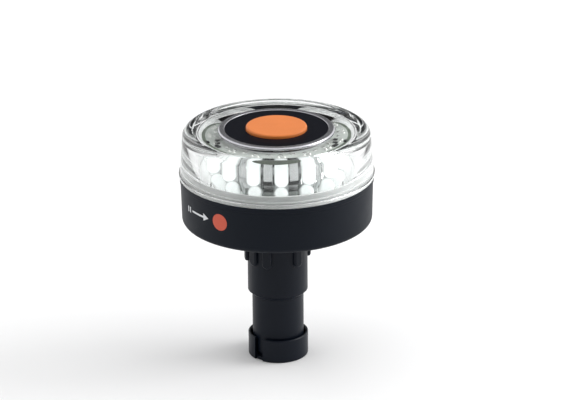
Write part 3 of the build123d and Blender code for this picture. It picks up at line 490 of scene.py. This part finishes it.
def place_round(radius, turn, height):
    """A point from its radius, its turn from -Y toward +X, and its height."""
    return Vector((radius * math.sin(turn), -radius * math.cos(turn), height))


def solder_pad(built, middle, turn, s):
    """A low rounded pad of solder on a board, with its width along the board's edge."""
    turned = Matrix.Rotation(turn, 3, "Z")
    corners = 16
    layers = []
    for k, lift in ((1.0, 0.0), (0.92, 0.55), (0.70, 0.9), (0.35, 1.0)):
        ring = []
        for i in range(corners):
            a = 2 * math.pi * i / corners
            # a squared circle, flatter on its sides than a round one
            across = math.copysign(abs(math.cos(a)) ** 0.7, math.cos(a)) * s.pad_width / 2 * k
            out = math.copysign(abs(math.sin(a)) ** 0.7, math.sin(a)) * s.pad_depth / 2 * k
            ring.append(built.verts.new(middle + turned @ Vector((across, out, s.pad_rise * lift))))
        layers.append(ring)
    for ring, inner in zip(layers, layers[1:]):
        for i in range(corners):
            j = (i + 1) % corners
            built.faces.new((ring[i], ring[j], inner[j], inner[i]))
    built.faces.new(layers[-1])
    built.faces.new(list(reversed(layers[0])))


def small_chip(built, middle, turn, long_side, width, rise):
    """A moulded chip with drafted sides and a bevelled top."""
    turned = Matrix.Rotation(turn, 3, "Z")
    layers = []
    for grow, lift in ((0.97, 0.0), (1.0, 0.45), (0.95, 0.9), (0.85, 1.0)):
        u, v = long_side / 2 * grow, width / 2 * grow
        ring = [(u, v), (-u, v)]
        ring += [(-x, -y) for x, y in ring]
        corners = [middle + turned @ Vector((u, v, rise * lift)) for u, v in ring]
        layers.append([built.verts.new(corner) for corner in corners])
    for ring, inner in zip(layers, layers[1:]):
        for i in range(4):
            j = (i + 1) % 4
            built.faces.new((ring[i], ring[j], inner[j], inner[i]))
    built.faces.new(layers[-1])
    built.faces.new(list(reversed(layers[0])))


def dress(nodes, finish):
    """Gives CAD nodes a finish in place of their plain one."""
    for node in nodes:
        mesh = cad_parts[node].data
        mesh.materials.clear()
        mesh.materials.append(finish.material)


def put(made, body, finish):
    """Gives a new piece its finish and its body."""
    made.data.materials.append(finish.material)
    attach(made, body)
    return made


# ---------------------------------------------------------------- pieces


def lens_ledge(s):
    """The height of the ledge inside the lens, over the circuit module's rim."""
    return top("snap_ring") + s.ledge_rise


def lens_outline(s):
    """The lens's closed (radius, height) outline, from the skirt's foot up the outside, then back inside."""
    flange_low = top("battery_casing") + s.play
    flange_top = flange_low + s.flange_thickness
    flange_radius = cad_high.x - 0.02 * MM
    foot = flange_radius - s.foot_inset
    crest = top("lens_cover")
    wall_top = foot - s.draft
    shoulder_centre = (wall_top - s.shoulder, crest - s.shoulder)
    rim_inner = shoulder_centre[0] - s.rim_width
    flat_top = crest - s.rim_step
    seat_radius = outer_radius("trim_ring") + s.play
    underside = top("lock_nut") + s.play / 2
    chamber = s.chamber_radius
    corner = (chamber - s.chamber_round, underside - s.chamber_round)
    ledge = lens_ledge(s)
    bore = s.skirt_radius - s.skirt_wall
    groove = outer_radius("snap_ring") + s.play
    boss_radius = s.skirt_radius + s.thread_height
    boss_low = flange_low - s.boss_drop
    r, small, rim = s.flange_round, s.small_round, s.rim_round
    groove_low, groove_top = low("snap_ring") - s.play / 2, top("snap_ring") + s.play / 2
    skirt_low = low("lens_cover")
    return [
        (bore, skirt_low),
        (s.skirt_radius - 0.3 * MM, skirt_low),
        (s.skirt_radius, skirt_low + 0.3 * MM),
        (s.skirt_radius, boss_low - 0.5 * MM),
        (boss_radius, boss_low),
        (boss_radius, flange_low),
        *arc((flange_radius - r, flange_low + r), r, -90, 0, 5),
        *arc((flange_radius - r, flange_top - r), r, 0, 90, 5),
        *arc((foot + small, flange_top + small), small, 270, 180, 3),
        *arc(shoulder_centre, s.shoulder, 3, 90, 14),
        *arc((rim_inner, crest - rim), rim, 90, 135, 3),
        (rim_inner - s.rim_step, flat_top),
        *arc((seat_radius + small, flat_top - small), small, 90, 180, 3),
        (seat_radius, low("ring_gasket")),
        (s.hole_radius, low("ring_gasket")),
        (s.hole_radius, underside),
        *arc(corner, s.chamber_round, 90, 0, 8),
        (chamber, ledge),
        (bore, ledge),
        (bore, groove_top),
        (groove, groove_top),
        (groove, groove_low),
        (bore, groove_low),
    ]


class BEACON_OT_lens(bpy.types.Operator):
    """Build the clear lens with its screw thread"""

    bl_idname = "beacon.lens"
    bl_label = "Clear Lens"

    def execute(self, context):
        """Turns the lens's outline and sweeps its thread."""
        s = context.scene.beacon_lens
        built = bmesh.new()
        revolve(built, lens_outline(s))
        crest = s.thread_width * 0.27
        thread = [
            (s.skirt_radius - 0.2 * MM, -s.thread_width / 2),
            (s.skirt_radius, -s.thread_width / 2),
            (s.skirt_radius + s.thread_height - 0.01 * MM, -crest),
            (s.skirt_radius + s.thread_height - 0.01 * MM, crest),
            (s.skirt_radius, s.thread_width / 2),
            (s.skirt_radius - 0.2 * MM, s.thread_width / 2),
        ]
        helix(built, thread, low("lens_cover") + s.thread_width / 2 + 0.1 * MM, s.thread_pitch, 2)
        made = add_object("clear_lens", built)
        put(made, "head", clear_plastic(s.tint))
        made.data.materials.append(frosted_plastic(s.tint).material)
        hidden_radius = outer_radius("snap_ring") + 0.2 * MM
        skirt_top = top("battery_casing")
        bore_top = lens_ledge(s) + 0.02 * MM
        for face in made.data.polygons:
            middle = face.center
            in_bore = middle.z < bore_top and math.hypot(middle.x, middle.y) < hidden_radius
            face.material_index = 1 if middle.z < skirt_top or in_bore else 0
        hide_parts("lens_cover")
        return {"FINISHED"}


class BEACON_OT_leds(bpy.types.Operator):
    """Light the LEDs and finish their leads"""

    bl_idname = "beacon.leds"
    bl_label = "LEDs"

    def execute(self, context):
        """Gives the LEDs their glow and the leads their tin."""
        tone = context.scene.beacon_colours.glow
        dress(["leds"], lit_epoxy(tone, low("leds"), top("leds")))
        tinned = ["led_leads", "board_links", "chip_legs", "contact_pads", "switch_cover"]
        dress(tinned, metal("tin plate", (0.72, 0.72, 0.70), 0.3))
        return {"FINISHED"}


class BEACON_OT_reflector(bpy.types.Operator):
    """Finish the mirror floor and the fluted drum"""

    bl_idname = "beacon.reflector"
    bl_label = "Reflectors"

    def execute(self, context):
        """Metallises the reflectors."""
        c = context.scene.beacon_colours
        dress(["floor_mirror"], chrome("floor mirror", c.chrome))
        dress(["reflector_drum"], chrome("fluted drum", c.drum))
        return {"FINISHED"}


class BEACON_OT_boards(bpy.types.Operator):
    """Finish the boards, their chips and the push switch"""

    bl_idname = "beacon.boards"
    bl_label = "Circuit Boards"

    def execute(self, context):
        """Gives the boards their mask and the parts on them their plastics."""
        c = context.scene.beacon_colours
        s = context.scene.beacon_board
        masked_radius = outer_radius("led_board") - s.bare_margin
        led_finish = circuit_board("LED board", c.board, c.board_edge, masked_radius)
        dress(["led_board", "switch_board"], led_finish)
        contact_radius = outer_radius("contact_board")
        contact_finish = circuit_board("contact board", c.board, (0.35, 0.37, 0.35), contact_radius)
        dress(["contact_board"], contact_finish)
        black = moulded("chip black", (0.018, 0.018, 0.02), 0.45)
        dress(["controller_chip", "drive_inductor", "switch_body", "switch_plunger"], black)
        dress(["chip_resistors"], moulded("ceramic", (0.50, 0.50, 0.48), 0.4))
        face = top("led_board")
        built = bmesh.new()
        for i in range(s.pad_count):
            turn = s.pad_start + 2 * math.pi * i / s.pad_count
            solder_pad(built, place_round(s.pad_circle, turn, face), turn, s)
        put(add_object("solder_pads", built), "module", metal("solder", (0.86, 0.86, 0.85), 0.22))
        for side in (-1, 1):
            built = bmesh.new()
            for radius, degrees, long_side, width in BOARD_CHIPS:
                turn = side * math.radians(degrees)
                middle = place_round(radius * MM, turn, face)
                small_chip(built, middle, turn, long_side * MM, width * MM, s.chip_rise)
            name = "left" if side < 0 else "right"
            put(add_object(f"board_chips_{name}", built, 20), "module", black)
        return {"FINISHED"}


class BEACON_OT_button(bpy.types.Operator):
    """Finish the button, its surround, the trim ring and what holds them"""

    bl_idname = "beacon.button"
    bl_label = "Button Group"

    def execute(self, context):
        """Gives the button its rubber and the ring its turned metal."""
        c = context.scene.beacon_colours
        dress(["push_button"], rubber("button rubber", c.button, 0.55))
        dress(["button_surround", "clamp_ring"], moulded("surround black", c.surround, 0.34, specular=0.05))
        # Painted shade and reflection: the lock nut's brown tint copies the band of shade under the trim
        # ring.
        dress(["lock_nut"], moulded("lock nut painted shade", c.nut, 0.45))
        dress(["trim_ring"], metal("turned ring", c.ring, 0.28, lambda made: made.rings(2600)))
        black = rubber("black rubber", (0.012, 0.012, 0.012), 0.6)
        dress(["seal_ring", "lock_washer", "button_boot", "ring_gasket"], black)
        return {"FINISHED"}


def on_wall(s, across, up, stand_off):
    """A point on the casing's wall, across it from the dot's middle and up from the marks' middle."""
    casing_low, casing_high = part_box("battery_casing")
    z = s.height + up
    lean = (casing_high.z - z) / (casing_high.z - casing_low.z)
    radius = casing_high.x - s.wall_inset - s.wall_draft * max(0, lean - 0.11) / 0.89 + stand_off
    a = s.dot_angle + across / radius
    return Vector((radius * math.sin(a), -radius * math.cos(a), z))


def printed_patch(name, s, outline, centre):
    """A thin printed patch that follows the casing's wall, in rings from its outline to its centre."""
    built = bmesh.new()
    rings = 6
    layers = []
    for i in range(rings):
        k = 1 - i / rings
        points = [(centre[0] + (u - centre[0]) * k, centre[1] + (v - centre[1]) * k) for u, v in outline]
        stand_off = s.thickness if i else s.thickness * 0.1
        layers.append([built.verts.new(on_wall(s, u, v, stand_off)) for u, v in points])
    for ring, inner in zip(layers, layers[1:]):
        for j in range(len(outline)):
            k = (j + 1) % len(outline)
            built.faces.new((ring[j], ring[k], inner[k], inner[j]))
    built.faces.new(layers[-1])
    return add_object(name, built, 60)


def bar(low_corner, high_corner, steps=12):
    """Outline of a printed bar, with extra points along its long sides so that it can bend."""
    (u0, v0), (u1, v1) = low_corner, high_corner
    lower = [(u0 + (u1 - u0) * i / steps, v0) for i in range(steps + 1)]
    upper = [(u1 - (u1 - u0) * i / steps, v1) for i in range(steps + 1)]
    return lower + upper


class BEACON_OT_casing(bpy.types.Operator):
    """Finish the battery casing and print its marks"""

    bl_idname = "beacon.casing"
    bl_label = "Battery Casing"

    def execute(self, context):
        """Gives the casing its grain, the alignment dot and the turn-to-open mark."""
        c = context.scene.beacon_colours
        s = context.scene.beacon_marks
        dress(["battery_casing"], moulded("casing plastic", c.casing, 0.50, specular=0.15))
        ink = moulded("dot ink", c.dot, 0.55, depth=0.006 * MM)
        white = moulded("white ink", c.print_white, 0.55, depth=0.006 * MM)
        radius = s.dot_diameter / 2
        turns = [math.pi * i / 24 for i in range(48)]
        circle = [(radius * math.cos(t), radius * math.sin(t)) for t in turns]
        put(printed_patch("alignment_dot", s, circle, (0, 0)), "casing", ink)
        shaft = bar((-17.5 * MM, -0.45 * MM), (-9.0 * MM, 0.45 * MM))
        put(printed_patch("turn_arrow_shaft", s, shaft, (-13.2 * MM, 0)), "casing", white)
        head = [(-6.2 * MM, 0), (-9.4 * MM, 1.7 * MM), (-9.4 * MM, -1.7 * MM)]
        put(printed_patch("turn_arrow_head", s, head, (-8.3 * MM, 0)), "casing", white)
        for i, offset in enumerate((-19.4 * MM, -21.2 * MM)):
            tick = bar((offset - 0.4 * MM, -1.3 * MM), (offset + 0.4 * MM, 1.3 * MM), 2)
            put(printed_patch(f"turn_tick_{i + 1}", s, tick, (offset, 0)), "casing", white)
        return {"FINISHED"}


class BEACON_OT_stem(bpy.types.Operator):
    """Finish the stem and its split collar"""

    bl_idname = "beacon.stem"
    bl_label = "Stem"

    def execute(self, context):
        """Gives the stem and the collar their satin plastic."""
        c = context.scene.beacon_colours
        satin = {"grain": 0.3 * MM, "depth": 0.006 * MM, "specular": 0.17}
        dress(["mount_stem"], moulded("stem plastic", c.stem, 0.42, **satin))
        dress(["spigot_collar"], moulded("collar plastic", c.stem, 0.38, **satin))
        return {"FINISHED"}


class BEACON_OT_power(bpy.types.Operator):
    """Finish the batteries, their tray, contacts and fasteners"""

    bl_idname = "beacon.power"
    bl_label = "Batteries and Fasteners"

    def execute(self, context):
        """Gives the inner parts their metals and plastics."""
        dress(["battery_tray"], moulded("tray plastic", (0.10, 0.10, 0.11), 0.5))
        dress([f"battery_cell_{i}" for i in (1, 2, 3)], cell_jacket("cell sleeve", (0.03, 0.035, 0.05)))
        dress(["contact_plates", "supply_fingers"], metal("plated brass", (0.75, 0.60, 0.32), 0.28))
        screws = ["tray_screws", "guide_pins", "board_pillars", "lower_board_screws", "upper_board_screws"]
        dress([*screws, "battery_springs"], metal("stainless steel", (0.58, 0.58, 0.57), 0.3))
        dress(["snap_ring"], moulded("white plastic", (0.74, 0.74, 0.72), 0.4))
        return {"FINISHED"}


# ---------------------------------------------------------------- stage


def soft_lamp(name, place, aim, size, power):
    """A softbox aimed at a point."""
    data = bpy.data.lights.new(name, "AREA")
    data.shape = "RECTANGLE"
    data.size, data.size_y = size
    data.energy = power
    lamp = bpy.data.objects.new(name, data)
    lamp.location = place
    lamp.rotation_mode = "QUATERNION"
    lamp.rotation_quaternion = (Vector(aim) - Vector(place)).to_track_quat("-Z", "Y")
    bpy.context.scene.collection.objects.link(lamp)
    return lamp


def floor_finish():
    """Plain white studio board."""
    made = Finish("studio floor").set(Roughness=0.85, Specular_IOR_Level=0.1)
    made.drive("Base Color", made.mix(made.noise(2.0, 2), (0.86, 0.86, 0.865), (0.88, 0.88, 0.88)))
    return made


def studio_world(scene):
    """A white room that is dark on the camera's side, with a dark screen low at the back."""
    world = bpy.data.worlds.new("studio")
    world.use_nodes = True
    nodes, links = world.node_tree.nodes, world.node_tree.links
    place = nodes.new("ShaderNodeTexCoord")

    def fade(direction, start, end, outside, inside):
        """Brightness that changes with the angle from a direction."""
        toward = nodes.new("ShaderNodeVectorMath")
        toward.operation = "DOT_PRODUCT"
        links.new(place.outputs["Generated"], toward.inputs[0])
        toward.inputs[1].default_value = direction
        shade = nodes.new("ShaderNodeMapRange")
        shade.interpolation_type = "SMOOTHSTEP"
        links.new(toward.outputs["Value"], shade.inputs["Value"])
        limits = {"From Min": start, "From Max": end, "To Min": outside, "To Max": inside}
        for name, value in limits.items():
            shade.inputs[name].default_value = value
        return shade.outputs["Result"]

    both = nodes.new("ShaderNodeMath")
    both.operation = "MULTIPLY"
    links.new(fade(*CAMERA_SIDE), both.inputs[0])
    links.new(fade(*BACK_SCREEN), both.inputs[1])
    nodes["Background"].inputs["Color"].default_value = (1, 1, 1, 1)
    links.new(both.outputs["Value"], nodes["Background"].inputs["Strength"])
    scene.world = world


class BEACON_OT_stage(bpy.types.Operator):
    """Set up the floor, the room's light, the lamp and the camera"""

    bl_idname = "beacon.stage"
    bl_label = "Stage and Camera"

    def execute(self, context):
        """Builds the studio, with the camera in front."""
        scene = context.scene
        s = scene.beacon_stage
        scene.view_settings.view_transform = "Standard"
        built = bmesh.new()
        bmesh.ops.create_grid(built, x_segments=4, y_segments=4, size=s.floor_size / 2)
        bmesh.ops.translate(built, verts=built.verts, vec=(0, s.floor_size / 2 - s.floor_front, cad_low.z))
        floor = add_object("studio_floor", built)
        floor.data.materials.append(floor_finish().material)
        studio_world(scene)
        soft_lamp("right_side", (1.1, 0.15, 0.75), (0, 0, 0.05), (0.7, 0.7), 9)
        camera = bpy.data.objects.new("camera", bpy.data.cameras.new("camera"))
        camera.data.lens = s.lens
        camera.data.shift_x = s.shift
        camera.data.clip_start = 0.05
        back = Vector((0, -math.cos(s.elevation), math.sin(s.elevation)))
        camera.location = Vector((0, 0, s.target_height)) + back * s.distance
        camera.rotation_euler = (math.pi / 2 - s.elevation, 0, 0)
        camera.rotation_euler.rotate_axis("Z", s.roll)
        scene.collection.objects.link(camera)
        scene.camera = camera
        return {"FINISHED"}


# ---------------------------------------------------------------- panel and registration

OPERATORS = (
    BEACON_OT_stage,
    BEACON_OT_lens,
    BEACON_OT_leds,
    BEACON_OT_reflector,
    BEACON_OT_boards,
    BEACON_OT_button,
    BEACON_OT_casing,
    BEACON_OT_stem,
    BEACON_OT_power,
)


class BEACON_PT_panel(bpy.types.Panel):
    """The beacon's pieces and settings"""

    bl_idname = "BEACON_PT_panel"
    bl_label = "Marine Beacon Light"
    bl_space_type = "VIEW_3D"
    bl_region_type = "UI"
    bl_category = "Beacon"

    def draw(self, context):
        """Lists the operators and the settings."""
        for operator in OPERATORS:
            self.layout.operator(operator.bl_idname)
        for name, group in SETTINGS.items():
            box = self.layout.box()
            for key in group.__annotations__:
                box.prop(getattr(context.scene, name), key)


CLASSES = (*SETTINGS.values(), *OPERATORS, BEACON_PT_panel)


def register():
    """Adds the add-on's classes and its settings."""
    for cls in CLASSES:
        bpy.utils.register_class(cls)
    for name, group in SETTINGS.items():
        setattr(bpy.types.Scene, name, bpy.props.PointerProperty(type=group))


def unregister():
    """Removes the add-on's settings and classes."""
    for name in SETTINGS:
        delattr(bpy.types.Scene, name)
    for cls in reversed(CLASSES):
        bpy.utils.unregister_class(cls)


def main():
    """Builds the whole light and its stage."""
    register()
    bpy.ops.beacon.stage()
    bpy.ops.beacon.lens()
    bpy.ops.beacon.leds()
    bpy.ops.beacon.reflector()
    bpy.ops.beacon.boards()
    bpy.ops.beacon.button()
    bpy.ops.beacon.casing()
    bpy.ops.beacon.stem()
    bpy.ops.beacon.power()


if __name__ == "__main__":
    main()
